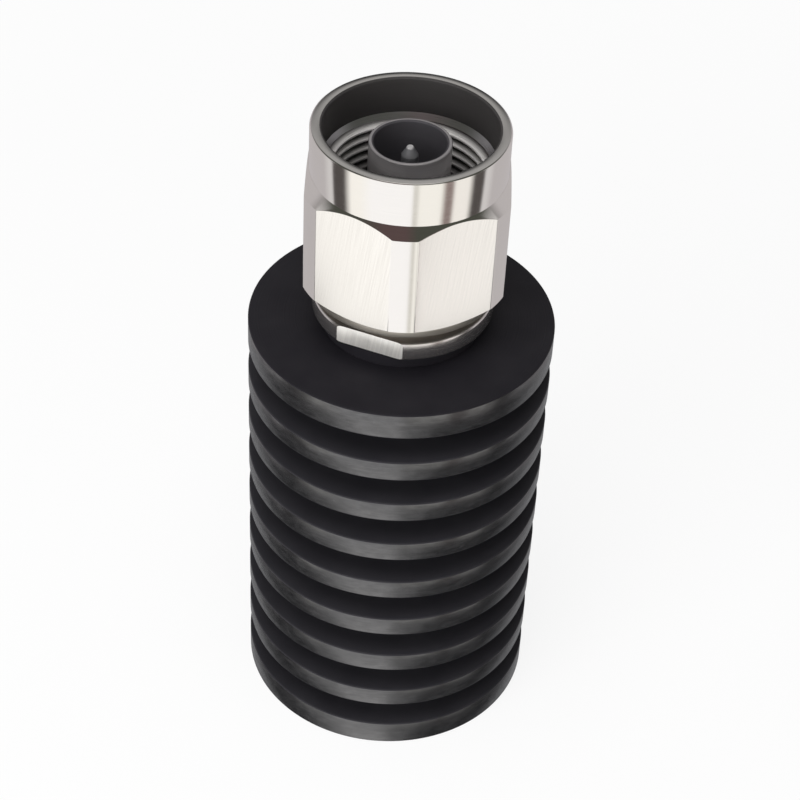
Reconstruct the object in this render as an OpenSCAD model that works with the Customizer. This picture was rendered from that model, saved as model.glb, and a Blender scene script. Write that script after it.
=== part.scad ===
// Coaxial dummy load: a screw-on coaxial plug on top of a turned, finned heat sink.
// A film resistor inside the heat sink turns the signal into heat.
// Millimetres, +Z up, origin at the centre of the heat sink's base, front towards -Y.

/* [Heat sink] */
// Diameter over the fins
fin_d = 31; // [27:0.5:40]
// Length of the heat sink, without the boss on top
sink_len = 47.6; // [44:0.2:80]
// Number of fins, both end fins included
fin_count = 9; // [7:1:11]
// Thickness of the fins between the two ends
fin_t = 2.4; // [1.6:0.1:2.8]
// Thickness of the bottom fin and the top fin
end_fin_t = 3; // [2.4:0.1:4]
// Diameter of the core at the floor of the grooves
core_d = 20; // [17:0.5:24]
// Bevel in the corners of the groove floors
groove_root = 0.4; // [0.1:0.1:0.5]
// Bevel along the edges of the fins and the boss
fin_edge = 0.2; // [0.1:0.05:0.5]
// Diameter of the boss on top, which carries the connector's flange
boss_d = 16.4; // [15:0.2:17.4]
// Height of the boss
boss_h = 1.6; // [0.8:0.1:3]
// Depth of thread run-out below the connector's screwed tail
thread_runout = 0.8; // [0.4:0.1:2]
// Bevel at the mouth of the screwed hole
hole_bevel = 0.5; // [0.2:0.1:1]

/* [Connector body] */
// Diameter of the flange that seats on the heat sink's boss
flange_d = 18.2; // [17.6:0.1:20]
// Thickness of the flange
flange_t = 2; // [1.4:0.1:5]
// Width across the two wrench flats on the flange
flange_flats = 16.8; // [15:0.2:17.4]
// Turn of the wrench flats from the front
flange_turn = -21; // [-90:1:90]
// Bevel along the flange's top edge
flange_bevel = 0.25; // [0.1:0.05:0.5]
// Bevel along the body's other edges
body_edge = 0.2; // [0.1:0.05:0.4]
// Diameter of the neck that the coupling nut turns on
neck_d = 13; // [12.6:0.1:13.6]
// Length of the neck, from the flange to the gasket's seat
neck_len = 6.4; // [5.6:0.1:8]
// Diameter of the screwed tail
tail_d = 12; // [11.2:0.2:14]
// Length of the screwed tail
tail_len = 8.6; // [6.6:0.2:10.6]
// Bevel at the end of the screwed tail
tail_edge = 0.5; // [0.2:0.1:0.8]
// Diameter of the outer contact's thicker root, inside the gasket
root_d = 8.6; // [8.3:0.1:9]
// Outer diameter of the outer contact
contact_d = 8; // [7.9:0.02:8.1]
// Inner diameter of the outer contact
line_d = 7; // [6.8:0.02:7.1]
// Length of the outer contact, from the gasket to the rim
contact_len = 9.2; // [8.4:0.1:11]
// Bevel around the outside of the rim
rim_bevel = 0.12; // [0.05:0.01:0.15]
// Bevel around the inside of the rim
rim_flare = 0.2; // [0.05:0.01:0.2]

/* [Coupling nut] */
// Width across the hexagon's flats
hex_af = 19.6; // [19.6:0.2:24]
// How far the turned-down corners stand out past the flats
corner_rise = 0.86; // [0.6:0.02:1.4]
// Length of the hexagon
hex_len = 12.35; // [10.8:0.05:16]
// Slope of the bevel from the collar down to the hexagon's corners
top_slope = 43; // [30:1:55]
// Slope of the bevel at the hexagon's bottom corners
low_slope = 33; // [15:1:45]
// How far the round skirt below the hexagon is turned down past the flats
skirt_drop = 0.1; // [0.05:0.05:0.4]
// Length of the round skirt
skirt_len = 0.85; // [0.6:0.05:2]
// Outer diameter of the round collar above the hexagon
collar_d = 19.2; // [18.6:0.1:19.4]
// Length of the collar
collar_len = 4.7; // [2:0.05:6]
// Wall of the collar around the smooth mouth
collar_wall = 1.15; // [0.8:0.05:1.2]
// Depth of the smooth mouth
mouth_depth = 3.9; // [2:0.1:5]
// Major diameter of the coupling thread
thread_d = 15.88; // [15.6:0.02:16.1]
// Slope of the bevel that leads into the thread
lead_slope = 45; // [30:1:60]
// Depth of the relief groove at the end of the thread
relief_depth = 0.2; // [0.1:0.05:0.4]
// Width of the relief groove
relief_w = 1.6; // [1:0.1:2.4]
// How far the gasket's seat stands into the relief groove
seat_rise = 0.6; // [0.2:0.1:1]
// Thickness of the lip behind the retaining ring
lip_t = 1.7; // [1.2:0.1:2]
// Gap between the flange and the nut
nut_gap = 1.2; // [0.3:0.1:2]
// Bevel along the nut's edges
nut_edge = 0.2; // [0.1:0.05:0.25]

/* [Retaining ring] */
// How deep the ring sits in the neck's groove
ring_bite = 0.7; // [0.5:0.05:0.9]
// Width of the ring from its inside to its outside
ring_w = 1.3; // [1.2:0.05:1.5]
// Thickness of the ring
ring_t = 1.2; // [0.8:0.1:1.4]
// Width of the split in the ring
ring_split = 2.2; // [1:0.1:4]

/* [Gasket] */
// Outer diameter of the gasket
gasket_d = 12.6; // [11.6:0.1:13]
// Thickness of the gasket
gasket_t = 1.8; // [1.2:0.1:2.4]

/* [Centre line] */
// Diameter of the pin's contact end
pin_d = 1.65; // [1.6:0.01:1.7]
// Distance from the rim down to the pin's tip
tip_depth = 0.6; // [0.2:0.1:1.5]
// Length of the pin's tapered tip
tip_len = 0.9; // [0.5:0.1:1.5]
// Diameter of the tip's blunt end
tip_d = 0.6; // [0.3:0.05:1]
// Distance from the rim down to the pin's shoulder
shoulder_depth = 5.28; // [4.6:0.02:6]
// Diameter of the pin below its shoulder
inner_d = 3.04; // [2.9:0.02:3.2]
// Diameter of the pin inside the bead and at its tail
stem_d = 2.45; // [2.2:0.05:2.6]
// Length of the half-round flat at the pin's tail
stem_flat = 3; // [2:0.1:3.6]
// Outer diameter of the insulating bead
bead_d = 8.2; // [7.6:0.1:8.6]
// Length of the bead
bead_len = 11; // [8:0.5:12]
// Distance from the gasket's seat down to the bead
bead_depth = 1.6; // [1:0.1:3]

/* [Resistor] */
// Diameter of the pocket that the carrier fits
pocket_d = 10.9; // [9.6:0.1:11]
// Length of the carrier
carrier_len = 13.5; // [12:0.5:16]
// Height of the carrier's full round base
carrier_base = 4; // [2:0.5:5]
// Distance from the connector's tail down to the carrier
carrier_gap = 3.1; // [2.6:0.1:5]
// Width of the resistor chip
chip_w = 6.4; // [4:0.1:7.4]
// Height of the resistor chip
chip_h = 6.4; // [5:0.1:7]
// Thickness of the resistor chip
chip_t = 1; // [0.6:0.1:1.6]
// Distance from the carrier's top down to the chip
chip_drop = 0.5; // [0.2:0.1:0.8]
// Thickness of the cover on the chip
cover_t = 0.8; // [0.5:0.1:1.5]
// Margin between the cover and the chip's edges
cover_margin = 0.4; // [0.2:0.1:0.8]
// Width of the contact lead
lead_w = 1.6; // [1:0.1:2.2]
// Thickness of the contact lead
lead_t = 0.2; // [0.1:0.05:0.3]
// Lap of the lead on the chip
lead_lap = 1.2; // [0.8:0.1:1.6]
// Lap of the lead on the pin's flat
lead_reach = 2.4; // [1:0.1:2.8]
// Distance from the carrier's top up to the pin's tail
stem_gap = 1; // [0.5:0.1:1.6]

/* [Fits] */
// Radial clearance of the nut on the neck
run_clear = 0.08; // [0.02:0.01:0.1]
// Clearance around the retaining ring in its grooves
ring_play = 0.1; // [0.05:0.01:0.15]
// Radial clearance of the pieces that are fixed in one another
fixed_clear = 0.02; // [0.01:0.01:0.04]

/* [Hidden] */
$fn = 96;

black_anodise = [0.09, 0.09, 0.1];
nickel = [0.82, 0.81, 0.78];
silver = [0.88, 0.87, 0.84];
bronze = [0.72, 0.52, 0.3];
rubber = [0.16, 0.16, 0.17];
white_resin = [0.95, 0.95, 0.93];
copper = [0.78, 0.47, 0.33];
ceramic = [0.86, 0.85, 0.8];

// How far a cutter reaches past the surface that it opens
over = 1;

// Heat sink
fin_r = fin_d / 2;
core_r = core_d / 2;
fin_gap = (sink_len - 2 * end_fin_t - (fin_count - 2) * fin_t) / (fin_count - 1);
fin_pitch = fin_t + fin_gap;
boss_r = boss_d / 2;
boss_top = sink_len + boss_h;

// Connector body
flange_r = flange_d / 2;
flange_top = boss_top + flange_t;
neck_r = neck_d / 2;
seat_z = flange_top + neck_len;
tail_r = tail_d / 2;
tail_z = boss_top - tail_len;
gasket_top = seat_z + gasket_t;
contact_r = contact_d / 2;
contact_top = gasket_top + contact_len;
line_r = line_d / 2;

// Coupling nut, with a corner of the hexagon in front
hex_sides = 6;
hex_step = 360 / hex_sides;
nut_z = flange_top + nut_gap;
hex_z = nut_z + skirt_len;
hex_top = hex_z + hex_len;
nut_top = hex_top + collar_len;
flat_r = hex_af / 2;
corner_r = flat_r + corner_rise;
skirt_r = flat_r - skirt_drop;
collar_r = collar_d / 2;
mouth_r = collar_r - collar_wall;
mouth_z = nut_top - mouth_depth;
thread_r = thread_d / 2;
relief_r = thread_r + relief_depth;
relief_z = seat_z - seat_rise;
nut_bore_r = neck_r + run_clear;

// Retaining ring
ring_in = neck_r - ring_bite;
ring_out = ring_in + ring_w;
ring_z = nut_z + lip_t + ring_play;

// Centre line
bead_r = bead_d / 2;
bead_top = seat_z - bead_depth;
bead_z = bead_top - bead_len;
pin_r = pin_d / 2;
inner_r = inner_d / 2;
stem_r = stem_d / 2;
tip_z = contact_top - tip_depth;
shoulder_z = contact_top - shoulder_depth;

// Resistor
carrier_top = tail_z - carrier_gap;
pocket_z = carrier_top - carrier_len;
carrier_d = pocket_d - 2 * fixed_clear;
chip_z = carrier_top - chip_drop - chip_h;
stem_z = carrier_top + stem_gap;
lead_z = chip_z + chip_h - lead_lap;
lead_top = stem_z + lead_reach;

// Height of the groove above fin number i
function groove_z(i) = end_fin_t + i * fin_pitch;

// Drop of a bevel that runs over this width at this slope
function bevel_drop(width, slope) = width * tan(slope);

// Plain ring from one radius to another, between two heights
module turned_ring(r_in, r_out, z_low, z_high)
  rotate_extrude()
    translate([r_in, z_low])
      square([r_out - r_in, z_high - z_low]);

// Cut that leaves a flat at this distance in front of the axis, turned from the front by this angle
module flat_cut(turn, distance, z_low, height, reach)
  rotate(turn)
    translate([-reach, -distance - reach, z_low])
      cube([2 * reach, reach, height]);

// Cut between two fins, with bevelled floor corners and a bevelled mouth
module fin_groove(z)
  translate([0, 0, z])
    rotate_extrude()
      polygon([
        [fin_r + over, -fin_edge - over],
        [fin_r - fin_edge, 0],
        [core_r + groove_root, 0],
        [core_r, groove_root],
        [core_r, fin_gap - groove_root],
        [core_r + groove_root, fin_gap],
        [fin_r - fin_edge, fin_gap],
        [fin_r + over, fin_gap + fin_edge + over]
      ]);

// Turned bar with the fins left between the grooves and a boss on top, bored from the top for the resistor
module heat_sink()
  color(black_anodise)
    difference() {
      rotate_extrude()
        polygon([
          [0, 0],
          [fin_r - fin_edge, 0],
          [fin_r, fin_edge],
          [fin_r, sink_len - fin_edge],
          [fin_r - fin_edge, sink_len],
          [boss_r, sink_len],
          [boss_r, boss_top - fin_edge],
          [boss_r - fin_edge, boss_top],
          [0, boss_top]
        ]);
      for (i = [0 : fin_count - 2])
        fin_groove(groove_z(i));
      rotate_extrude()
        polygon([
          [0, pocket_z],
          [pocket_d / 2, pocket_z],
          [pocket_d / 2, tail_z - thread_runout],
          [tail_r + fixed_clear, tail_z - thread_runout],
          [tail_r + fixed_clear, boss_top - hole_bevel],
          [tail_r + fixed_clear + hole_bevel + over, boss_top + over],
          [0, boss_top + over]
        ]);
    }

// Turned body: screwed tail, wrench flange, neck for the nut and the tubular outer contact
module connector_body()
  color(nickel)
    difference() {
      rotate_extrude()
        polygon([
          [bead_r + fixed_clear, tail_z],
          [tail_r - tail_edge, tail_z],
          [tail_r, tail_z + tail_edge],
          [tail_r, boss_top],
          [flange_r - body_edge, boss_top],
          [flange_r, boss_top + body_edge],
          [flange_r, flange_top - flange_bevel],
          [flange_r - flange_bevel, flange_top],
          [neck_r, flange_top],
          [neck_r, seat_z - body_edge],
          [neck_r - body_edge, seat_z],
          [root_d / 2, seat_z],
          [root_d / 2, gasket_top],
          [contact_r, gasket_top],
          [contact_r, contact_top - rim_bevel],
          [contact_r - rim_bevel, contact_top],
          [line_r + rim_flare, contact_top],
          [line_r, contact_top - rim_flare],
          [line_r, bead_top],
          [bead_r + fixed_clear, bead_top]
        ]);
      turned_ring(ring_in - ring_play, neck_r + over, ring_z - ring_play, ring_z + ring_t + ring_play);
      for (side = [0, 180])
        flat_cut(
          flange_turn + side,
          flange_flats / 2,
          boss_top - over,
          flange_t + 2 * over,
          flange_r
        );
    }

// Turned nut with six milled flats, a skirt below them and a collar above
module coupling_nut()
  color(nickel)
    difference() {
      rotate_extrude()
        polygon([
          [nut_bore_r + nut_edge, nut_z],
          [skirt_r - nut_edge, nut_z],
          [skirt_r, nut_z + nut_edge],
          [skirt_r, hex_z],
          [corner_r, hex_z + bevel_drop(corner_r - skirt_r, low_slope)],
          [corner_r, hex_top - bevel_drop(corner_r - collar_r, top_slope)],
          [collar_r, hex_top],
          [collar_r, nut_top - nut_edge],
          [collar_r - nut_edge, nut_top],
          [mouth_r + nut_edge, nut_top],
          [mouth_r, nut_top - nut_edge],
          [mouth_r, mouth_z],
          [thread_r, mouth_z - bevel_drop(mouth_r - thread_r, lead_slope)],
          [thread_r, relief_z + relief_w],
          [relief_r, relief_z + relief_w - relief_depth],
          [relief_r, relief_z],
          [nut_bore_r, relief_z],
          [nut_bore_r, nut_z + nut_edge]
        ]);
      turned_ring(neck_r - over, ring_out + ring_play, ring_z - ring_play, ring_z + ring_t + ring_play);
      for (i = [0 : hex_sides - 1])
        flat_cut((i + 0.5) * hex_step, flat_r, hex_z, hex_len, flat_r);
    }

// Split spring ring that holds the nut on the neck and lets it turn
module retaining_ring()
  color(bronze)
    difference() {
      turned_ring(ring_in, ring_out, ring_z, ring_z + ring_t);
      translate([0, -ring_split / 2, ring_z - over])
        cube([ring_out + over, ring_split, ring_t + 2 * over]);
    }

// Seal that the mating connector's front edge presses on
module gasket()
  color(rubber)
    turned_ring(root_d / 2 + fixed_clear, gasket_d / 2, seat_z, gasket_top);

// Bead that centres the pin in the body
module insulator()
  color(white_resin)
    turned_ring(stem_r + fixed_clear, bead_r, bead_z, bead_top);

// Turned pin with a tapered tip, and a half-round tail for the lead
module center_pin()
  color(silver)
    difference() {
      rotate_extrude()
        polygon([
          [0, stem_z],
          [stem_r, stem_z],
          [stem_r, bead_top],
          [inner_r, bead_top],
          [inner_r, shoulder_z],
          [pin_r, shoulder_z],
          [pin_r, tip_z - tip_len],
          [tip_d / 2, tip_z],
          [0, tip_z]
        ]);
      flat_cut(0, 0, stem_z - over, stem_flat + over, inner_d);
    }

// Half-round block that carries the heat from the chip to the heat sink
module resistor_carrier()
  color(copper)
    difference() {
      translate([0, 0, pocket_z])
        cylinder(d = carrier_d, h = carrier_len);
      flat_cut(0, -chip_t, pocket_z + carrier_base, carrier_len, carrier_d);
    }

// Ceramic plate with the film resistor, soldered to the carrier's flat
module resistor_chip()
  color(ceramic)
    translate([-chip_w / 2, 0, chip_z])
      cube([chip_w, chip_t, chip_h]);

// Ceramic lid over the resistor film
module resistor_cover()
  color(white_resin)
    translate([-chip_w / 2 + cover_margin, -cover_t, chip_z + cover_margin])
      cube([chip_w - 2 * cover_margin, cover_t, chip_h - lead_lap - 2 * cover_margin]);

// Strip that joins the resistor film to the pin
module contact_lead()
  color(silver)
    translate([-lead_w / 2, -lead_t, lead_z])
      cube([lead_w, lead_t, lead_top - lead_z]);

heat_sink();
connector_body();
coupling_nut();
retaining_ring();
gasket();
insulator();
center_pin();
resistor_carrier();
resistor_chip();
resistor_cover();
contact_lead();
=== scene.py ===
"""A coaxial dummy load: a bright plug with a hexagonal coupling nut on a black ring-finned heat sink.

Lengths of the pieces are millimetres in the constants and metres in the meshes, and angles are
degrees. The turned pieces that show are spun here with rounded edges, in the places of their
solids. The pieces inside keep their solids.
"""

from math import cos, radians, sin, tan, tau

import bmesh
import bpy
from mathutils import Matrix, Vector


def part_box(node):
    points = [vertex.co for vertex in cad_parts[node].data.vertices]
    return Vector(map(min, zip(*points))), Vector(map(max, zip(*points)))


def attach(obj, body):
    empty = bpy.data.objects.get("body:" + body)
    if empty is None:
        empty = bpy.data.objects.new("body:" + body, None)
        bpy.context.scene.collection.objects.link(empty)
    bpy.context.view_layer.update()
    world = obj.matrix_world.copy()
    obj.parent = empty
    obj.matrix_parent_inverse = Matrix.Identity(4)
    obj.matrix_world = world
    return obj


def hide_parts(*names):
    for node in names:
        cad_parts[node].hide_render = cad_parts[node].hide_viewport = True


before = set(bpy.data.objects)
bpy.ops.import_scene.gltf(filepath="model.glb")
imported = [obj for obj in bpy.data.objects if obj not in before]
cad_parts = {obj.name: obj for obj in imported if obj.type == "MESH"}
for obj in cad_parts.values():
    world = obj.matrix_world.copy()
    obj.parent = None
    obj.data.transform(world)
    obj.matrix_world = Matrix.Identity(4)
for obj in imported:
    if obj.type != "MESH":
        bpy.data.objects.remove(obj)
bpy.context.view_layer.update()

MM = 0.001
INCH = 25.4


def reach(node):
    """How far a solid reaches to the right of the axis."""
    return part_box(node)[1].x / MM


def foot(node):
    """Height of a solid's lowest point."""
    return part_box(node)[0].z / MM


def head(node):
    """Height of a solid's highest point."""
    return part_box(node)[1].z / MM


# Steps of a full turn, and of a rounded edge
TURN_STEPS = 192
ROUND_STEPS = 3

# Edges that turn by more than this stay sharp
SHARP_ANGLE = 32

# A face is upright where its normal points up or down by less than this
UPRIGHT = 0.2

# Nearness in metres: a corner to its ring, a corner to its double, a corner to a cutting plane
ON_RING = 1e-6
DOUBLED = 1e-7
ON_PLANE = 1e-8

# Heat sink
FIN_R = reach("heat_sink")
BOSS_TOP = head("heat_sink")
BOSS_H = 1.6
BOSS_R = 8.2
SINK_LEN = BOSS_TOP - BOSS_H
FIN_COUNT = 9
FIN_T = 2.4
END_FIN_T = 3.0
CORE_R = 10.0
FIN_EDGE = 0.15
GROOVE_ROOT = 0.4
SCREW_HOLE_R = 6.02
SCREW_HOLE_Z = 39.8
SCREW_HOLE_BEVEL = 0.5
POCKET_R = 5.45
POCKET_Z = foot("resistor_carrier")
FIN_GAP = (SINK_LEN - 2 * END_FIN_T - (FIN_COUNT - 2) * FIN_T) / (FIN_COUNT - 1)
FIN_PITCH = FIN_T + FIN_GAP

# The heat sink's finishes, by their places on its mesh
FIN_RIM, FIN_FACE, FIN_GROOVE = range(3)

# Connector body
TAIL_R = 6.0
TAIL_Z = foot("connector_body")
TAIL_EDGE = 0.5
FLANGE_R = reach("connector_body")
FLANGE_H = 2.0
FLANGE_TOP = BOSS_TOP + FLANGE_H
FLANGE_FLAT = 8.4
FLANGE_TURN = -21.0
FLANGE_BEVEL = 0.25
BODY_EDGE = 0.2
NECK_R = 6.5
RING_PLAY = 0.1
RING_LOW = foot("retaining_ring") - RING_PLAY
RING_HIGH = head("retaining_ring") + RING_PLAY
NECK_GROOVE_R = 5.7
SEAT_Z = foot("gasket")
ROOT_R = 4.3
ROOT_TOP = head("gasket")
CONTACT_R = 4.0
CONTACT_TOP = head("connector_body")
LINE_R = 3.5
RIM_BEVEL = 0.12
RIM_FLARE = 0.2
BEAD_PLAY = 0.02
BEAD_HOLE_R = reach("insulator") + BEAD_PLAY
BEAD_TOP = head("insulator")

# The body's finishes, by their places on its mesh
BODY_TURNED, BODY_MILLED, BODY_CONTACT, BODY_LINE = range(4)

# Centre pin, and the length of the painted highlight at its tip
PIN_TOP = head("center_pin")
PIN_TIP = 0.25

# Coupling nut
NUT_Z = foot("coupling_nut")
NUT_TOP = head("coupling_nut")
HEX_FLAT = reach("coupling_nut")
HEX_SIDES = 6
CORNER_STAND = 0.86
CORNER_R = HEX_FLAT + CORNER_STAND
SKIRT_INSET = 0.1
SKIRT_R = HEX_FLAT - SKIRT_INSET
SKIRT_H = 0.85
HEX_Z = NUT_Z + SKIRT_H
COLLAR_H = 4.7
COLLAR_R = 9.6
HEX_TOP = NUT_TOP - COLLAR_H
LOW_SLOPE = 33
LOW_CORNER = HEX_Z + (CORNER_R - SKIRT_R) * tan(radians(LOW_SLOPE))
TOP_SLOPE = 43
TOP_CORNER = HEX_TOP - (CORNER_R - COLLAR_R) * tan(radians(TOP_SLOPE))
COLLAR_WALL = 1.15
MOUTH_R = COLLAR_R - COLLAR_WALL
MOUTH_DEPTH = 3.9
MOUTH_Z = NUT_TOP - MOUTH_DEPTH
NUT_BORE_R = 6.58
RING_GROOVE_R = 7.2
RELIEF_DROP = 0.6
RELIEF_Z = SEAT_Z - RELIEF_DROP
RELIEF_H = 1.6
RELIEF_TOP = RELIEF_Z + RELIEF_H
NUT_EDGE = 0.2
FLAT_EDGE = 0.04

# The nut's finishes, by their places on its mesh
TURNED, MILLED, BORE, MOUTH, LEAD_IN, RIM, SKIRT, SHOULDER = range(8)

# Coupling thread
TURNS_PER_INCH = 24
THREAD_PITCH = INCH / TURNS_PER_INCH
THREAD_R = 7.94
THREAD_TOP = MOUTH_Z - (MOUTH_R - THREAD_R)
THREAD_DEPTH = 0.55
THREAD_STEPS = 96
RELIEF_DEPTH = 0.2
RELIEF_R = THREAD_R + RELIEF_DEPTH

# The ridge's root stands this deep in the nut, and its half widths are shares of the pitch
ROOT_SUNK = 0.03
ROOT_SHARE = 0.46
CREST_SHARE = 0.08

# Turns of the thread from the mouth down to where its painted light has given way to painted shade
PAINTED_LIGHT_TURNS = 5


# Turned and milled meshes

def mesh_object(bm, name, finishes):
    """Makes an object of a bmesh and puts it in the scene."""
    mesh = bpy.data.meshes.new(name)
    bm.to_mesh(mesh)
    bm.free()
    for finish in finishes:
        mesh.materials.append(finish)
    piece = bpy.data.objects.new(name, mesh)
    bpy.context.scene.collection.objects.link(piece)
    return piece


def made_piece(bm, name, finishes):
    """Makes a piece of a closed bmesh, smooth except along its sharp edges."""
    bmesh.ops.recalc_face_normals(bm, faces=bm.faces)
    piece = mesh_object(bm, name, finishes)
    piece.data.shade_smooth()
    piece.data.set_sharp_from_angle(angle=radians(SHARP_ANGLE))
    return piece


def ring_edges(bm, radius, height):
    """The edges of the ring that a corner of an outline left at this radius and height."""
    def on_ring(vert):
        off_radius = abs(vert.co.xy.length - radius * MM)
        off_height = abs(vert.co.z - height * MM)
        return off_radius < ON_RING and off_height < ON_RING
    return [edge for edge in bm.edges if all(on_ring(vert) for vert in edge.verts)]


def bevel_edges(bm, edges, width):
    bmesh.ops.bevel(
        bm, geom=edges, offset=width * MM, offset_type="OFFSET", affect="EDGES",
        segments=ROUND_STEPS, profile=0.5, clamp_overlap=True, material=-1,
    )


def spun(outline, closed=True):
    """Spins an outline of (radius, height, rounding) corners round the axis and rounds its corners."""
    bm = bmesh.new()
    corners = [bm.verts.new((r * MM, 0, z * MM)) for r, z, _ in outline]
    pairs = list(zip(corners, corners[1:]))
    if closed:
        pairs.append((corners[-1], corners[0]))
    sides = [bm.edges.new(pair) for pair in pairs]
    bmesh.ops.spin(
        bm, geom=corners + sides, cent=(0, 0, 0), axis=(0, 0, 1), dvec=(0, 0, 0),
        angle=tau, steps=TURN_STEPS, use_merge=True,
    )
    bmesh.ops.remove_doubles(bm, verts=bm.verts, dist=DOUBLED)
    bmesh.ops.recalc_face_normals(bm, faces=bm.faces)
    for width in sorted({rounding for _, _, rounding in outline if rounding}):
        circles = [ring_edges(bm, r, z) for r, z, rounding in outline if rounding == width]
        bevel_edges(bm, sum(circles, []), width)
    return bm


def mill_flat(bm, turn, distance, slot):
    """Cuts a flat at this distance from the axis, facing the front turned by this angle."""
    facing = Matrix.Rotation(radians(turn), 3, "Z") @ Vector((0, -1, 0))
    cut = bmesh.ops.bisect_plane(
        bm, geom=bm.verts[:] + bm.edges[:] + bm.faces[:], dist=ON_PLANE,
        plane_co=facing * distance * MM, plane_no=facing, clear_outer=True,
    )
    border = [part for part in cut["geom_cut"] if isinstance(part, bmesh.types.BMEdge)]
    for face in bmesh.ops.edgeloop_fill(bm, edges=border)["faces"]:
        face.material_index = slot


def ease_flats(bm, slot):
    """Takes the sharpness off the borders of the milled flats."""
    borders = []
    for edge in bm.edges:
        slots = [face.material_index for face in edge.link_faces]
        if slots.count(slot) == 1:
            borders.append(edge)
    bevel_edges(bm, borders, FLAT_EDGE)


def fin_outline():
    """The heat sink's outline: up the fins and grooves outside, then the boss and down the hole."""
    corners = [(0, 0, 0)]
    for fin in range(FIN_COUNT):
        low = END_FIN_T + fin * FIN_PITCH - FIN_T if fin else 0
        high = END_FIN_T + fin * FIN_PITCH if fin < FIN_COUNT - 1 else SINK_LEN
        if fin > 0:
            corners.append((CORE_R, low, GROOVE_ROOT))
        corners.append((FIN_R, low, FIN_EDGE))
        corners.append((FIN_R, high, FIN_EDGE))
        if fin < FIN_COUNT - 1:
            corners.append((CORE_R, high, GROOVE_ROOT))
    return corners + [
        (BOSS_R, SINK_LEN, 0),
        (BOSS_R, BOSS_TOP, FIN_EDGE),
        (SCREW_HOLE_R + SCREW_HOLE_BEVEL, BOSS_TOP, 0),
        (SCREW_HOLE_R, BOSS_TOP - SCREW_HOLE_BEVEL, 0),
        (SCREW_HOLE_R, SCREW_HOLE_Z, 0),
        (POCKET_R, SCREW_HOLE_Z, 0),
        (POCKET_R, POCKET_Z, 0),
        (0, POCKET_Z, 0),
    ]


def make_heat_sink(finishes):
    bm = spun(fin_outline(), closed=False)
    for face in bm.faces:
        middle = face.calc_center_median()
        if middle.xy.length > (FIN_R - FIN_EDGE) * MM and abs(face.normal.z) < UPRIGHT:
            face.material_index = FIN_RIM
        elif FIN_EDGE * MM < middle.z < (SINK_LEN - FIN_EDGE) * MM:
            face.material_index = FIN_GROOVE
        else:
            face.material_index = FIN_FACE
    return made_piece(bm, "finned_bar", finishes)


def make_body(finishes):
    bm = spun([
        (BEAD_HOLE_R, TAIL_Z, 0),
        (TAIL_R, TAIL_Z, TAIL_EDGE),
        (TAIL_R, BOSS_TOP, 0),
        (FLANGE_R, BOSS_TOP, BODY_EDGE),
        (FLANGE_R, FLANGE_TOP, FLANGE_BEVEL),
        (NECK_R, FLANGE_TOP, 0),
        (NECK_R, RING_LOW, 0),
        (NECK_GROOVE_R, RING_LOW, 0),
        (NECK_GROOVE_R, RING_HIGH, 0),
        (NECK_R, RING_HIGH, 0),
        (NECK_R, SEAT_Z, BODY_EDGE),
        (ROOT_R, SEAT_Z, 0),
        (ROOT_R, ROOT_TOP, 0),
        (CONTACT_R, ROOT_TOP, 0),
        (CONTACT_R, CONTACT_TOP, RIM_BEVEL),
        (LINE_R, CONTACT_TOP, RIM_FLARE),
        (LINE_R, BEAD_TOP, 0),
        (BEAD_HOLE_R, BEAD_TOP, 0),
    ])
    for side in (0, 180):
        mill_flat(bm, FLANGE_TURN + side, FLANGE_FLAT, BODY_MILLED)
    ease_flats(bm, BODY_MILLED)
    for face in bm.faces:
        middle = face.calc_center_median()
        if middle.z > SEAT_Z * MM:
            inside = middle.xy.length < (LINE_R + RIM_FLARE) * MM
            face.material_index = BODY_LINE if inside else BODY_CONTACT
    return made_piece(bm, "plug_body", finishes)


def make_nut(finishes):
    bm = spun([
        (NUT_BORE_R, NUT_Z, NUT_EDGE),
        (SKIRT_R, NUT_Z, NUT_EDGE),
        (SKIRT_R, HEX_Z, 0),
        (CORNER_R, LOW_CORNER, 0),
        (CORNER_R, TOP_CORNER, 0),
        (COLLAR_R, HEX_TOP, 0),
        (COLLAR_R, NUT_TOP, NUT_EDGE),
        (MOUTH_R, NUT_TOP, NUT_EDGE),
        (MOUTH_R, MOUTH_Z, 0),
        (THREAD_R, THREAD_TOP, 0),
        (THREAD_R, RELIEF_TOP, 0),
        (RELIEF_R, RELIEF_TOP - (RELIEF_R - THREAD_R), 0),
        (RELIEF_R, RELIEF_Z, 0),
        (NUT_BORE_R, RELIEF_Z, 0),
        (NUT_BORE_R, RING_HIGH, 0),
        (RING_GROOVE_R, RING_HIGH, 0),
        (RING_GROOVE_R, RING_LOW, 0),
        (NUT_BORE_R, RING_LOW, 0),
    ])
    step = 360 / HEX_SIDES
    for side in range(HEX_SIDES):
        mill_flat(bm, (side + 0.5) * step, HEX_FLAT, MILLED)
    ease_flats(bm, MILLED)
    for face in bm.faces:
        middle = face.calc_center_median()
        height = middle.z / MM
        radius = middle.xy.length / MM
        inside = radius < MOUTH_R + NUT_EDGE
        if height < HEX_Z:
            face.material_index = SKIRT
        elif inside and height > MOUTH_Z:
            face.material_index = MOUTH
        elif inside and height > THREAD_TOP:
            face.material_index = LEAD_IN
        elif inside:
            face.material_index = BORE
        elif height > NUT_TOP - NUT_EDGE and radius < COLLAR_R - NUT_EDGE / 2:
            face.material_index = RIM
        elif face.material_index == TURNED and abs(face.normal.z) > UPRIGHT:
            face.material_index = SHOULDER
    return made_piece(bm, "hex_nut", finishes)


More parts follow.
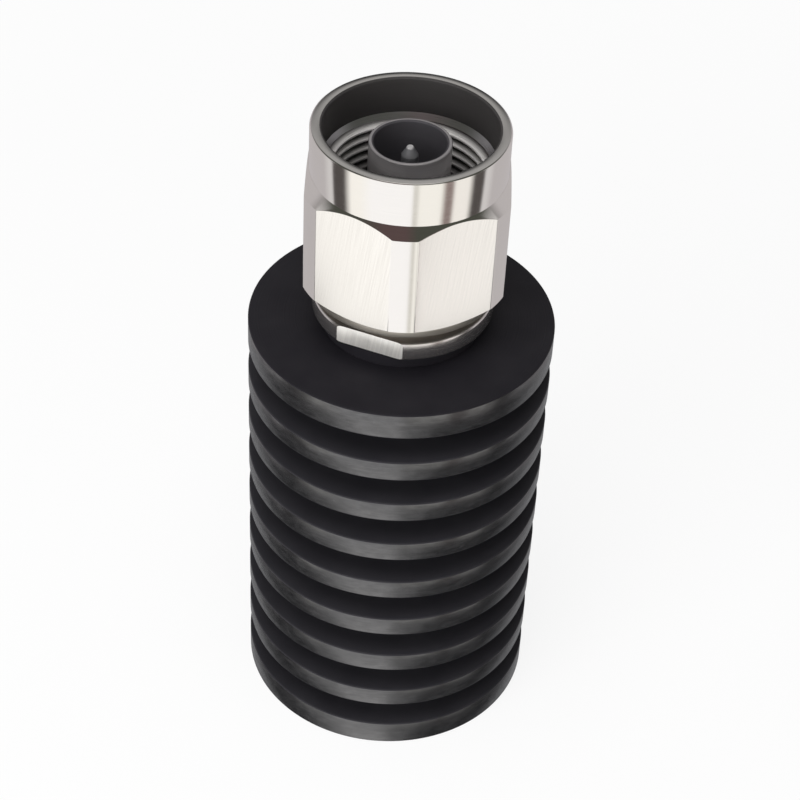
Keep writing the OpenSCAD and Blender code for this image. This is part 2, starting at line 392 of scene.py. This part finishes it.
def make_thread(finish):
    """One ridge that climbs round inside the nut, from the relief groove to the mouth."""
    root = THREAD_R + ROOT_SUNK
    crest = THREAD_R - THREAD_DEPTH
    half_root = THREAD_PITCH * ROOT_SHARE
    half_crest = THREAD_PITCH * CREST_SHARE
    start = RELIEF_TOP + half_root
    steps = int((THREAD_TOP - start) / THREAD_PITCH * THREAD_STEPS)
    section = [(root, -half_root), (crest, -half_crest), (crest, half_crest), (root, half_root)]
    bm = bmesh.new()
    bm.faces.new([bm.verts.new((r * MM, 0, (start + z) * MM)) for r, z in section])
    climb = steps * tau / THREAD_STEPS
    last = bmesh.ops.spin(
        bm, geom=bm.faces[:], cent=(0, 0, 0), axis=(0, 0, 1), angle=climb, steps=steps,
        dvec=(0, 0, THREAD_PITCH / THREAD_STEPS * MM),
    )["geom_last"]
    for vert in (part for part in last if isinstance(part, bmesh.types.BMVert)):
        vert.co.xy *= root * MM / vert.co.xy.length
    turn_back = Matrix.Rotation(-tau / 4 - climb, 3, "Z")
    bmesh.ops.rotate(bm, verts=bm.verts, cent=(0, 0, 0), matrix=turn_back)
    return made_piece(bm, "thread_ridge", [finish])


# Grains and other parts of the finishes

def new_finish(name, color, metallic, roughness):
    """A material with plain values on its shader, and its tree for the grain."""
    material = bpy.data.materials.new(name)
    material.use_nodes = True
    shader = material.node_tree.nodes["Principled BSDF"]
    shader.inputs["Base Color"].default_value = (*color, 1)
    shader.inputs["Metallic"].default_value = metallic
    shader.inputs["Roughness"].default_value = roughness
    return material, material.node_tree, shader


def scaled(color, share):
    return tuple(part * share for part in color)


def math_node(tree, operation, first, second):
    """A sum on two sockets or numbers."""
    node = tree.nodes.new("ShaderNodeMath")
    node.operation = operation
    for socket, value in zip(node.inputs, (first, second)):
        if isinstance(value, (int, float)):
            socket.default_value = value
        else:
            tree.links.new(value, socket)
    return node.outputs["Value"]


def fade(tree, value, start, end):
    """0 up to the start, 1 from the end on."""
    spread = tree.nodes.new("ShaderNodeMapRange")
    spread.inputs["From Min"].default_value = start
    spread.inputs["From Max"].default_value = end
    tree.links.new(value, spread.inputs["Value"])
    return spread.outputs["Result"]


def grain(tree, size, detail=2):
    """Noise on object coordinates, with grains of this size in millimetres along X, Y and Z."""
    place = tree.nodes.new("ShaderNodeTexCoord")
    mapping = tree.nodes.new("ShaderNodeMapping")
    mapping.vector_type = "TEXTURE"
    mapping.inputs["Scale"].default_value = [length * MM for length in size]
    noise = tree.nodes.new("ShaderNodeTexNoise")
    noise.inputs["Scale"].default_value = 1
    noise.inputs["Detail"].default_value = detail
    tree.links.new(place.outputs["Object"], mapping.inputs["Vector"])
    tree.links.new(mapping.outputs["Vector"], noise.inputs["Vector"])
    return noise.outputs["Fac"]


def off_axis(tree):
    """Distance from the axis in metres."""
    place = tree.nodes.new("ShaderNodeTexCoord")
    flat = tree.nodes.new("ShaderNodeVectorMath")
    flat.operation = "MULTIPLY"
    flat.inputs[1].default_value = (1, 1, 0)
    radius = tree.nodes.new("ShaderNodeVectorMath")
    radius.operation = "LENGTH"
    tree.links.new(place.outputs["Object"], flat.inputs[0])
    tree.links.new(flat.outputs["Vector"], radius.inputs[0])
    return radius.outputs["Value"]


def height_up(tree):
    """Height above the base in metres."""
    place = tree.nodes.new("ShaderNodeTexCoord")
    split = tree.nodes.new("ShaderNodeSeparateXYZ")
    tree.links.new(place.outputs["Object"], split.inputs["Vector"])
    return split.outputs["Z"]


def rings(tree, size):
    """Noise that changes with the distance from the axis alone, as turning marks on a face do."""
    noise = tree.nodes.new("ShaderNodeTexNoise")
    noise.noise_dimensions = "1D"
    noise.inputs["Scale"].default_value = 1 / (size * MM)
    noise.inputs["Detail"].default_value = 2
    tree.links.new(off_axis(tree), noise.inputs["W"])
    return noise.outputs["Fac"]


def slanted(tree, radius, width, length, slant):
    """Noise in long grains up the flats round the axis, which slant by this angle."""
    place = tree.nodes.new("ShaderNodeTexCoord")
    split = tree.nodes.new("ShaderNodeSeparateXYZ")
    tree.links.new(place.outputs["Object"], split.inputs["Vector"])
    turn = math_node(tree, "ARCTAN2", split.outputs["Y"], split.outputs["X"])
    along = math_node(tree, "MULTIPLY", turn, radius / width)
    shift = math_node(tree, "MULTIPLY", split.outputs["Z"], -tan(radians(slant)) / (width * MM))
    across = tree.nodes.new("ShaderNodeCombineXYZ")
    tree.links.new(math_node(tree, "ADD", along, shift), across.inputs["X"])
    tree.links.new(math_node(tree, "DIVIDE", split.outputs["Z"], length * MM), across.inputs["Y"])
    noise = tree.nodes.new("ShaderNodeTexNoise")
    noise.noise_dimensions = "2D"
    noise.inputs["Scale"].default_value = 1
    tree.links.new(across.outputs["Vector"], noise.inputs["Vector"])
    return noise.outputs["Fac"]


def vary(tree, source, socket, first, last, start=0.3, end=0.7):
    """Lets a number on the shader follow a grain, from the first value to the last."""
    spread = tree.nodes.new("ShaderNodeMapRange")
    spread.inputs["From Min"].default_value = start
    spread.inputs["From Max"].default_value = end
    spread.inputs["To Min"].default_value = first
    spread.inputs["To Max"].default_value = last
    tree.links.new(source, spread.inputs["Value"])
    tree.links.new(spread.outputs["Result"], socket)


def tint(tree, source, socket, dark, light, start=0.3, end=0.7):
    """Lets the colour follow a grain, from dark to light."""
    ramp = tree.nodes.new("ShaderNodeValToRGB")
    ramp.color_ramp.elements[0].position = start
    ramp.color_ramp.elements[0].color = (*dark, 1)
    ramp.color_ramp.elements[1].position = end
    ramp.color_ramp.elements[1].color = (*light, 1)
    tree.links.new(source, ramp.inputs["Fac"])
    tree.links.new(ramp.outputs["Color"], socket)


def emboss(tree, source, shader, depth):
    """Lets a grain stand out of the surface by this depth in millimetres."""
    bump = tree.nodes.new("ShaderNodeBump")
    bump.inputs["Distance"].default_value = depth * MM
    tree.links.new(source, bump.inputs["Height"])
    tree.links.new(bump.outputs["Normal"], shader.inputs["Normal"])


def leaning(tree, marks, lean, depth):
    """A grain for emboss, of this depth, on a surface whose shading leans up by this angle."""
    slope = math_node(tree, "MULTIPLY", height_up(tree), -tan(radians(lean)) / (depth * MM))
    return math_node(tree, "ADD", marks, slope)


# Finishes, with grain sizes and depths in millimetres

NICKEL = (0.86, 0.84, 0.8)
# The pin's dark plating colour is painted shade, for the pin deep inside the contact.
PAINTED_SHADE_PLATING = (0.14, 0.14, 0.145)
POLISH_LINES = (6, 6, 0.05)
POLISH_DEPTH = 0.0004
SCRATCH_DEPTH = 0.0012
BORE_LINES = (5, 5, 0.08)
PLATING_LINES = (2, 2, 0.05)
SCUFF_SHARE = 0.4


def anodised_rim():
    """Turned rims of the fins: dark grey, clouded, with fine streaks round the circumference."""
    material, tree, shader = new_finish(
        "anodised_rim", color=(0.025, 0.025, 0.026), metallic=0, roughness=0.36,
    )
    shader.inputs["IOR"].default_value = 2
    shader.inputs["Anisotropic"].default_value = 0.2
    shader.inputs["Anisotropic Rotation"].default_value = 0.25
    streaks = grain(tree, size=(2.4, 2.4, 0.12), detail=3)
    clouds = grain(tree, size=(1, 1, 0.5), detail=5)
    marks = math_node(tree, "MULTIPLY", math_node(tree, "ADD", streaks, clouds), 0.5)
    scuffs = fade(tree, grain(tree, size=(0.5, 0.5, 0.22)), start=0.7, end=0.78)
    worn = math_node(tree, "ADD", marks, math_node(tree, "MULTIPLY", scuffs, SCUFF_SHARE))
    # The rims' colour is lighter than the faces' of the same anodising: partly a painted sheen, for the
    # bright studio that the rims reflect. The clouds, streaks and scuffs in it are real marks.
    tint(
        tree, worn, shader.inputs["Base Color"],
        dark=(0.003, 0.003, 0.0035), light=(0.049, 0.048, 0.049), start=0.4, end=0.8,
    )
    vary(tree, marks, shader.inputs["Roughness"], first=0.27, last=0.2, start=0.4, end=0.6)
    emboss(tree, streaks, shader, depth=0.0012)
    return material


def anodised_face(name, dark, light):
    """Faces of the fins: deep matte black with faint turning rings."""
    material, tree, shader = new_finish(name, dark, metallic=0, roughness=0.55)
    shader.inputs["Specular IOR Level"].default_value = 0.2
    marks = rings(tree, size=0.12)
    vary(tree, marks, shader.inputs["Roughness"], first=0.5, last=0.62)
    tint(tree, grain(tree, size=(4, 4, 4)), shader.inputs["Base Color"], dark, light)
    emboss(tree, marks, shader, depth=0.004)
    return material


def turned_nickel(name, lean):
    """Polished nickel outside on the nut, with faint turning lines and a lean in its shading."""
    material, tree, shader = new_finish(name, NICKEL, metallic=1, roughness=0.1)
    lines = grain(tree, POLISH_LINES)
    vary(tree, lines, shader.inputs["Roughness"], first=0.07, last=0.14)
    tint(tree, lines, shader.inputs["Base Color"], scaled(NICKEL, share=0.97), NICKEL)
    emboss(tree, leaning(tree, lines, lean, POLISH_DEPTH), shader, POLISH_DEPTH)
    return material


def milled_nickel(name, color, metallic, radius, smooth, rough, lean):
    """Brushed nickel on flats at this radius, with long scratches and a lean in its shading."""
    material, tree, shader = new_finish(name, color, metallic, smooth)
    scratches = slanted(tree, radius, width=0.16, length=6, slant=8)
    vary(tree, scratches, shader.inputs["Roughness"], smooth, rough)
    tint(tree, scratches, shader.inputs["Base Color"], scaled(color, share=0.89), color)
    emboss(tree, leaning(tree, scratches, lean, SCRATCH_DEPTH), shader, SCRATCH_DEPTH)
    return material


def bored_nickel(name, color, metallic, smooth, rough):
    """Duller nickel with turning lines: in the bores, and on the contact, the skirt and the flange. Its
    dark copies inside are painted shade.
    """
    material, tree, shader = new_finish(name, color, metallic, smooth)
    lines = grain(tree, BORE_LINES, detail=3)
    vary(tree, lines, shader.inputs["Roughness"], smooth, rough)
    tint(tree, lines, shader.inputs["Base Color"], scaled(color, share=0.9), color)
    emboss(tree, lines, shader, depth=0.002)
    return material


def ridge_nickel():
    """The thread's nickel: painted shade in the roots and deep down, painted highlights on the upper
    crests.
    """
    material, tree, shader = new_finish(
        "ridge_nickel", color=(0.8, 0.78, 0.76), metallic=0.5, roughness=0.3,
    )
    # Painted light and shade: the colour is lightest on the crests near the mouth and darkens into the
    # roots and deeper in the nut.
    deep = THREAD_TOP - PAINTED_LIGHT_TURNS * THREAD_PITCH
    crest = THREAD_R - THREAD_DEPTH
    rise = fade(tree, off_axis(tree), start=THREAD_R * MM, end=crest * MM)
    painted_depth_light = fade(tree, height_up(tree), start=deep * MM, end=THREAD_TOP * MM)
    painted_light = math_node(tree, "MULTIPLY", rise, painted_depth_light)
    tint(
        tree, painted_light, shader.inputs["Base Color"],
        dark=(0.16, 0.15, 0.15), light=(0.97, 0.94, 0.92), start=0.1, end=0.75,
    )
    vary(tree, grain(tree, BORE_LINES, detail=3), shader.inputs["Roughness"], first=0.24, last=0.36)
    return material


def plated_silver(name, color):
    material, tree, shader = new_finish(name, color, metallic=1, roughness=0.25)
    lines = grain(tree, PLATING_LINES)
    vary(tree, lines, shader.inputs["Roughness"], first=0.28, last=0.42)
    tint(tree, lines, shader.inputs["Base Color"], scaled(color, share=0.92), color)
    return material


def pin_silver():
    """The pin's plating, darkened as painted shade deep in the contact, with a painted highlight at its
    tip.
    """
    material, tree, shader = new_finish("plated_pin", PAINTED_SHADE_PLATING, metallic=0.3, roughness=0.4)
    # A painted highlight: the colour lightens over the top of the tip.
    painted_tip_highlight = fade(tree, height_up(tree), start=(PIN_TOP - PIN_TIP) * MM, end=PIN_TOP * MM)
    tint(tree, painted_tip_highlight, shader.inputs["Base Color"], PAINTED_SHADE_PLATING, light=(0.45, 0.44, 0.44))
    vary(tree, grain(tree, PLATING_LINES), shader.inputs["Roughness"], first=0.3, last=0.44)
    return material


def spring_bronze():
    material, tree, shader = new_finish(
        "bare_bronze", color=(0.55, 0.33, 0.15), metallic=1, roughness=0.35,
    )
    stains = grain(tree, size=(0.8, 0.8, 0.3), detail=4)
    vary(tree, stains, shader.inputs["Roughness"], first=0.28, last=0.45)
    tint(
        tree, stains, shader.inputs["Base Color"],
        dark=(0.45, 0.26, 0.11), light=(0.6, 0.37, 0.17),
    )
    return material


def seal_rubber():
    material, tree, shader = new_finish(
        "black_rubber", color=(0.03, 0.03, 0.032), metallic=0, roughness=0.75,
    )
    pores = grain(tree, size=(0.15, 0.15, 0.15), detail=4)
    vary(tree, pores, shader.inputs["Roughness"], first=0.65, last=0.85)
    tint(
        tree, pores, shader.inputs["Base Color"],
        dark=(0.022, 0.022, 0.024), light=(0.036, 0.036, 0.038),
    )
    emboss(tree, pores, shader, depth=0.01)
    return material


def white_resin():
    material, tree, shader = new_finish(
        "turned_resin", color=(0.86, 0.86, 0.83), metallic=0, roughness=0.5,
    )
    shader.inputs["Subsurface Weight"].default_value = 0.15
    shader.inputs["Subsurface Radius"].default_value = (MM, MM, MM)
    marks = rings(tree, size=0.15)
    vary(tree, marks, shader.inputs["Roughness"], first=0.42, last=0.58)
    tint(
        tree, marks, shader.inputs["Base Color"],
        dark=(0.82, 0.82, 0.79), light=(0.88, 0.88, 0.85),
    )
    return material


def bare_copper():
    material, tree, shader = new_finish(
        "turned_copper", color=(0.75, 0.37, 0.24), metallic=1, roughness=0.35,
    )
    lines = grain(tree, size=(4, 4, 0.08), detail=3)
    vary(tree, lines, shader.inputs["Roughness"], first=0.28, last=0.44)
    tint(
        tree, lines, shader.inputs["Base Color"],
        dark=(0.62, 0.29, 0.17), light=(0.78, 0.4, 0.26),
    )
    return material


def fired_ceramic(name, color):
    material, tree, shader = new_finish(name, color, metallic=0, roughness=0.6)
    grit = grain(tree, size=(0.2, 0.2, 0.2), detail=4)
    vary(tree, grit, shader.inputs["Roughness"], first=0.5, last=0.7)
    tint(tree, grit, shader.inputs["Base Color"], scaled(color, share=0.92), color)
    emboss(tree, grit, shader, depth=0.004)
    return material


# Dressing the frame

def dress(piece, body, slot, *nodes):
    """Puts a piece on its body, in the place of the solids that it stands for. The slot is not used."""
    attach(piece, body)
    if nodes:
        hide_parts(*nodes)


def refinish(node, finish):
    """Gives a solid that keeps its own mesh a better finish."""
    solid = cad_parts[node]
    solid.data.materials.clear()
    solid.data.materials.append(finish)


shoulder_nickel = turned_nickel("turned_nickel", lean=0)
collar_nickel = turned_nickel("collar_nickel", lean=5)
hex_milled = milled_nickel(
    "milled_hexagon", color=(0.96, 0.945, 0.915), metallic=1,
    radius=HEX_FLAT, smooth=0.14, rough=0.22, lean=9,
)
flange_milled = milled_nickel(
    "milled_flange", color=(0.97, 0.95, 0.9), metallic=0.68,
    radius=FLANGE_FLAT, smooth=0.3, rough=0.38, lean=4,
)
# The bore's dark colour is painted shade, between the thread's turns and down the nut's bore.
bore_nickel = bored_nickel(
    "bore_nickel", color=(0.3, 0.28, 0.28), metallic=1, smooth=0.3, rough=0.42,
)
# The lead-in's darker colour is painted shade, inside the nut's mouth.
lead_nickel = bored_nickel(
    "lead_nickel", color=(0.6, 0.6, 0.61), metallic=1, smooth=0.26, rough=0.38,
)
rim_nickel = bored_nickel(
    "rim_nickel", color=(0.7, 0.685, 0.67), metallic=1, smooth=0.14, rough=0.2,
)
# The mouth's near-black colour is painted shade, down the nut's mouth.
mouth_nickel = bored_nickel(
    "mouth_nickel", color=(0.092, 0.087, 0.086), metallic=0.7, smooth=0.42, rough=0.52,
)
# The ferrule's dark colour is painted shade, inside the contact.
line_nickel = bored_nickel(
    "line_nickel", color=(0.105, 0.1, 0.11), metallic=0.6, smooth=0.45, rough=0.58,
)
skirt_nickel = bored_nickel(
    "skirt_nickel", color=(0.6, 0.56, 0.49), metallic=0.9, smooth=0.28, rough=0.4,
)
flange_nickel = bored_nickel(
    "flange_nickel", color=(0.74, 0.71, 0.69), metallic=0.95, smooth=0.16, rough=0.26,
)
contact_nickel = bored_nickel(
    "contact_nickel", color=(0.55, 0.53, 0.54), metallic=0.85, smooth=0.34, rough=0.46,
)
face_black = anodised_face(
    "anodised_face", dark=(0.0112, 0.0103, 0.0132), light=(0.0148, 0.0138, 0.0168),
)
# The grooves' copy of the same anodising is lighter: painted light, against the shade deep in the
# grooves.
groove_painted_fill = anodised_face(
    "anodised_groove", dark=(0.0205, 0.0197, 0.0232), light=(0.0258, 0.0248, 0.0288),
)

heat_sink = make_heat_sink([anodised_rim(), face_black, groove_painted_fill])
dress(heat_sink, "load", "black_anodised", "heat_sink")
plug_body = make_body([flange_nickel, flange_milled, contact_nickel, line_nickel])
dress(plug_body, "load", "nickel_body", "connector_body")
coupling_nut = make_nut([
    collar_nickel, hex_milled, bore_nickel, mouth_nickel,
    lead_nickel, rim_nickel, skirt_nickel, shoulder_nickel,
])
dress(coupling_nut, "nut", "nickel_nut", "coupling_nut")
dress(make_thread(ridge_nickel()), "nut", "nickel_nut")

refinish("retaining_ring", spring_bronze())
refinish("gasket", seal_rubber())
refinish("insulator", white_resin())
refinish("center_pin", pin_silver())
refinish("resistor_carrier", bare_copper())
refinish("resistor_chip", fired_ceramic("film_ceramic", color=(0.62, 0.6, 0.55)))
refinish("resistor_cover", fired_ceramic("lid_ceramic", color=(0.82, 0.81, 0.77)))
refinish("contact_lead", plated_silver("rolled_silver", color=(0.82, 0.8, 0.77)))


# Stage, with its places and sizes in metres

WHITE = (1, 1, 1)
ROOM = (0.3, 0.3, 0.3)

# Floor: the camera sees plain white, mixed near the object with this share of the lit floor, which
# holds the shadow. The share is full up to one distance from the middle and ends at the other.
FLOOR_COLOR = (0.9, 0.9, 0.9)
FLOOR_R = 1.5
FLOOR_STEPS = 64
SHADOW_SHARE = 0.14
SHADOW_FULL = 0.06
SHADOW_END = 0.3

# What reflections see: a bench below, upright sheets round the object, a ceiling, and a sheet overhead.
# Each of the first three has colours that follow the azimuth from the front.
# An edge is two angles above the horizon, between which one gives way to the next.
BENCH_EDGE = (-34, -37)
CEILING_EDGE = (25, 35)
TOP_EDGE = (66, 74)
TOP_SHEET = (0.75, 0.74, 0.72)

WARM_CEILING = (0.105, 0.07, 0.07)
COOL_CEILING = (0.072, 0.074, 0.062)
REAR_CEILING = (0.48, 0.47, 0.46)
CEILING = (
    (-180, REAR_CEILING), (-165, REAR_CEILING), (-140, COOL_CEILING), (-60, COOL_CEILING),
    (-30, WARM_CEILING), (0, WARM_CEILING), (16, COOL_CEILING), (140, COOL_CEILING),
    (165, REAR_CEILING), (180, REAR_CEILING),
)

BACKDROP = (0.05, 0.05, 0.05)
SIDE_WALL = (0.54, 0.51, 0.525)
SIDE_GLOW = (0.7, 0.68, 0.69)
DARK_FLAG = (0.09, 0.08, 0.078)
LEFT_WING = (1.08, 1.055, 1.02)
RIGHT_WING = (1.0, 0.97, 0.94)
KEY_SHEET = (1.1, 1.09, 1.11)
FRONT_SHEET = (1.05, 1.03, 0.99)
GREY_CARD = (0.74, 0.72, 0.68)
BROWN_CARD = (0.28, 0.22, 0.21)
SHEETS = (
    (-180, BACKDROP), (-170, BACKDROP), (-158, SIDE_WALL), (-104, SIDE_WALL), (-94, SIDE_GLOW),
    (-90, SIDE_GLOW), (-87, DARK_FLAG), (-72, DARK_FLAG), (-63, LEFT_WING), (-52, LEFT_WING),
    (-38, KEY_SHEET), (4.5, KEY_SHEET), (7, GREY_CARD), (9.5, GREY_CARD), (13, FRONT_SHEET),
    (35, FRONT_SHEET), (41, BROWN_CARD), (47, BROWN_CARD), (51, RIGHT_WING), (67, RIGHT_WING),
    (74, DARK_FLAG), (86, DARK_FLAG), (90, SIDE_GLOW), (94, SIDE_GLOW), (104, SIDE_WALL),
    (158, SIDE_WALL), (170, BACKDROP), (180, BACKDROP),
)

BENCH_FAR = (0.36, 0.36, 0.372)
BENCH_DARK = (0.05, 0.05, 0.054)
BENCH_DIM = (0.09, 0.09, 0.095)
BENCH_GREY = (0.46, 0.455, 0.46)
BENCH_BRIGHT = (1.18, 1.16, 1.16)
BENCH = (
    (-180, BENCH_FAR), (-128, BENCH_FAR), (-106, BENCH_DARK), (-76, BENCH_DARK),
    (-50, BENCH_GREY), (-28, BENCH_BRIGHT), (0, BENCH_BRIGHT), (10, BENCH_GREY),
    (18, BENCH_GREY), (34, BENCH_DIM), (62, BENCH_DIM), (84, BENCH_DARK), (96, BENCH_DARK),
    (125, BENCH_FAR), (180, BENCH_FAR),
)

# The photograph's view
CAMERA_PLACE = (0, -0.16887, 0.18131)
CAMERA_YAW = 0.09
CAMERA_PITCH = 40.654
CAMERA_ROLL = 2.962
FOCAL_LENGTH = 95.92
SENSOR_WIDTH = 36
NEAREST_SEEN = 0.01


def mirror_rays(tree, path):
    """1 on rays that come from a reflection or through a clear surface."""
    glossy = path.outputs["Is Glossy Ray"]
    return math_node(tree, "MAXIMUM", glossy, path.outputs["Is Transmission Ray"])


def pale_floor():
    """Diffuse near white, and mostly plain white to the camera, so that a soft shadow stays."""
    material = bpy.data.materials.new("pale_floor")
    material.use_nodes = True
    tree = material.node_tree
    tree.nodes.clear()
    path = tree.nodes.new("ShaderNodeLightPath")
    place = tree.nodes.new("ShaderNodeTexCoord")
    away = tree.nodes.new("ShaderNodeVectorMath")
    away.operation = "LENGTH"
    tree.links.new(place.outputs["Object"], away.inputs[0])
    near = fade(tree, away.outputs["Value"], start=SHADOW_END, end=SHADOW_FULL)
    white_share = math_node(tree, "SUBTRACT", 1, math_node(tree, "MULTIPLY", near, SHADOW_SHARE))
    seen = math_node(tree, "MAXIMUM", path.outputs["Is Camera Ray"], mirror_rays(tree, path))
    share = math_node(tree, "MULTIPLY", seen, white_share)
    pale = tree.nodes.new("ShaderNodeBsdfDiffuse")
    pale.inputs["Color"].default_value = (*FLOOR_COLOR, 1)
    white = tree.nodes.new("ShaderNodeEmission")
    mix = tree.nodes.new("ShaderNodeMixShader")
    out = tree.nodes.new("ShaderNodeOutputMaterial")
    tree.links.new(share, mix.inputs["Fac"])
    tree.links.new(pale.outputs["BSDF"], mix.inputs[1])
    tree.links.new(white.outputs["Emission"], mix.inputs[2])
    tree.links.new(mix.outputs["Shader"], out.inputs["Surface"])
    return material


def make_floor():
    bm = bmesh.new()
    bmesh.ops.create_circle(bm, cap_ends=True, segments=FLOOR_STEPS, radius=FLOOR_R)
    floor = mesh_object(bm, "floor", [pale_floor()])
    floor.visible_glossy = False


def colors_round(tree, turn, stops):
    """Colours that follow the azimuth from the front, given as (degrees, colour) stops."""
    ramp = tree.nodes.new("ShaderNodeValToRGB")
    points = ramp.color_ramp.elements
    for number, (angle, color) in enumerate(stops):
        point = points[number] if number < 2 else points.new(1)
        point.position = angle / 360 + 0.5
        point.color = (*color, 1)
    tree.links.new(turn, ramp.inputs["Fac"])
    return ramp.outputs["Color"]


def mixed(tree, share, first, second):
    """A colour that goes from the first to the second, each a socket or a plain colour."""
    mix = tree.nodes.new("ShaderNodeMix")
    mix.data_type = "RGBA"
    tree.links.new(share, mix.inputs["Factor"])
    for end, color in (("A", first), ("B", second)):
        if isinstance(color, tuple):
            mix.inputs[end].default_value = (*color, 1)
        else:
            tree.links.new(color, mix.inputs[end])
    return mix.outputs["Result"]


def past(tree, rise, edge):
    """0 before an edge of the studio and 1 past it, by the rise of the direction looked in."""
    start, end = (sin(radians(angle)) for angle in edge)
    return fade(tree, rise, start, end)


def studio_light(tree, place):
    """The studio as reflections see it, by direction."""
    turn = tree.nodes.new("ShaderNodeMapping")
    turn.inputs["Rotation"].default_value = (0, 0, radians(90))
    tree.links.new(place.outputs["Generated"], turn.inputs["Vector"])
    azimuth = tree.nodes.new("ShaderNodeTexGradient")
    azimuth.gradient_type = "RADIAL"
    tree.links.new(turn.outputs["Vector"], azimuth.inputs["Vector"])
    sheets = colors_round(tree, azimuth.outputs["Fac"], SHEETS)
    ceiling = colors_round(tree, azimuth.outputs["Fac"], CEILING)
    bench = colors_round(tree, azimuth.outputs["Fac"], BENCH)
    split = tree.nodes.new("ShaderNodeSeparateXYZ")
    tree.links.new(place.outputs["Generated"], split.inputs["Vector"])
    rise = split.outputs["Z"]
    lower = mixed(tree, past(tree, rise, BENCH_EDGE), sheets, bench)
    upper = mixed(tree, past(tree, rise, TOP_EDGE), ceiling, TOP_SHEET)
    return mixed(tree, past(tree, rise, CEILING_EDGE), lower, upper)


def make_world():
    """White to the camera, the studio to reflections and a plain room to everything else."""
    world = bpy.data.worlds.new("studio")
    bpy.context.scene.world = world
    world.use_nodes = True
    tree = world.node_tree
    tree.nodes.clear()
    path = tree.nodes.new("ShaderNodeLightPath")
    place = tree.nodes.new("ShaderNodeTexCoord")
    shade = mixed(tree, mirror_rays(tree, path), ROOM, studio_light(tree, place))
    seen = mixed(tree, path.outputs["Is Camera Ray"], shade, WHITE)
    light = tree.nodes.new("ShaderNodeBackground")
    tree.links.new(seen, light.inputs["Color"])
    out = tree.nodes.new("ShaderNodeOutputWorld")
    tree.links.new(light.outputs["Background"], out.inputs["Surface"])


def make_lamp(name, place, aim, size, power):
    """A square lamp that lights the object but doesn't show in its reflections."""
    lamp = bpy.data.lights.new(name, "AREA")
    lamp.shape = "RECTANGLE"
    lamp.size = size
    lamp.size_y = size
    lamp.energy = power
    holder = bpy.data.objects.new(name, lamp)
    holder.location = place
    holder.visible_glossy = False
    holder.rotation_euler = (Vector(aim) - Vector(place)).to_track_quat("-Z", "Y").to_euler()
    bpy.context.scene.collection.objects.link(holder)


def make_camera():
    """Looks from the front and above, close, with a slight roll."""
    yaw = radians(CAMERA_YAW)
    pitch = radians(CAMERA_PITCH)
    roll = radians(CAMERA_ROLL)
    ahead = Vector((sin(yaw) * cos(pitch), cos(yaw) * cos(pitch), -sin(pitch)))
    level = ahead.cross(Vector((0, 0, 1))).normalized()
    rise = level.cross(ahead)
    right = level * cos(roll) + rise * sin(roll)
    up = rise * cos(roll) - level * sin(roll)
    lens = bpy.data.cameras.new("camera")
    lens.lens = FOCAL_LENGTH
    lens.sensor_width = SENSOR_WIDTH
    lens.clip_start = NEAREST_SEEN
    camera = bpy.data.objects.new("camera", lens)
    turn = Matrix((right, up, -ahead)).transposed().to_4x4()
    camera.matrix_world = Matrix.Translation(CAMERA_PLACE) @ turn
    bpy.context.scene.collection.objects.link(camera)
    bpy.context.scene.camera = camera


make_floor()
make_world()
make_lamp("overhead", place=(-0.05, -0.12, 0.45), aim=(0, -0.03, 0), size=0.3, power=1.2)
make_lamp("front_left", place=(-0.26, -0.41, 0.19), aim=(0, 0, 0.04), size=0.36, power=2.0)
make_camera()
bpy.context.scene.view_settings.view_transform = "Standard"
